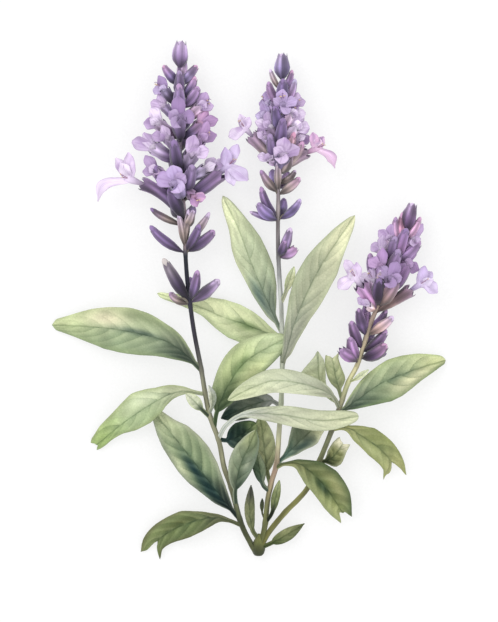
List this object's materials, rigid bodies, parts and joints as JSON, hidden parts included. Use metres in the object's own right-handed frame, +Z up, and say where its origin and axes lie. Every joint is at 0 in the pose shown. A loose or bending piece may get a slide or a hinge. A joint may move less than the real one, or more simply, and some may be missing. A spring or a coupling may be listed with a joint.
{
  "type": "sage bunch",
  "caption": "Cut bunch of flowering sage lying flat: branching stems that meet in one crown, lance-shaped leaves with waved margins, and whorled violet flower spikes.",
  "frame": {"origin": "centre of the flat spot under the crown, where the stems meet and the bunch rests on the surface", "axes": "+Y from the crown to the flower tips, +X to the right seen from above, +Z up from the surface that the bunch lies on"},
  "size_m": [0.2196, 0.2869, 0.0309],
  "materials": {
    "sage_stem": "matt, finely haired grey-green stem, darker violet-grey towards the flowers",
    "sage_leaf": "matt felted grey-green leaf with a net of veins and a yellow-green margin",
    "sage_calyx": "matt dark violet calyces and buds with lilac corollas",
    "sage_petal": "soft translucent lilac petals with darker violet veins"
  },
  "bodies": {
    "root": {"branching_stem": "sage_stem", "leaf_left_long": "sage_leaf", "leaf_left_drooping": "sage_leaf", "leaflet_left_axil": "sage_leaf", "leaflet_left_inner": "sage_leaf", "leaf_low_left": "sage_leaf", "leaf_base_left": "sage_leaf", "leaf_centre_upright": "sage_leaf", "leaf_centre_broad": "sage_leaf", "leaf_cross_right": "sage_leaf", "leaf_curled_underside": "sage_leaf", "leaf_behind_left": "sage_leaf", "leaf_upper_left": "sage_leaf", "leaf_upper_right": "sage_leaf", "leaflet_upper_right": "sage_leaf", "leaf_centre_back": "sage_leaf", "leaflet_centre_dark": "sage_leaf", "leaf_hidden_back": "sage_leaf", "leaf_folded_back": "sage_leaf", "leaf_low_right": "sage_leaf", "leaflet_crown_upright": "sage_leaf", "leaflet_crown_small": "sage_leaf", "leaf_right_long": "sage_leaf", "leaf_cross_left": "sage_leaf", "leaf_axil_right_back": "sage_leaf", "leaf_axil_right_front": "sage_leaf", "leaflet_right_axil": "sage_leaf", "leaf_right_drooping": "sage_leaf", "leaf_low_right_curled": "sage_leaf", "leaflet_crown_right": "sage_leaf", "leaflet_crown_left": "sage_leaf", "flower_spike_left": "sage_calyx", "flower_spike_middle": "sage_calyx", "flower_spike_right": "sage_calyx", "bloom_left_west": "sage_petal", "bloom_left_east": "sage_petal", "bloom_middle_west": "sage_petal", "bloom_middle_east": "sage_petal", "bloom_right_west": "sage_petal", "bloom_right_east": "sage_petal"}
  },
  "joints": []
}
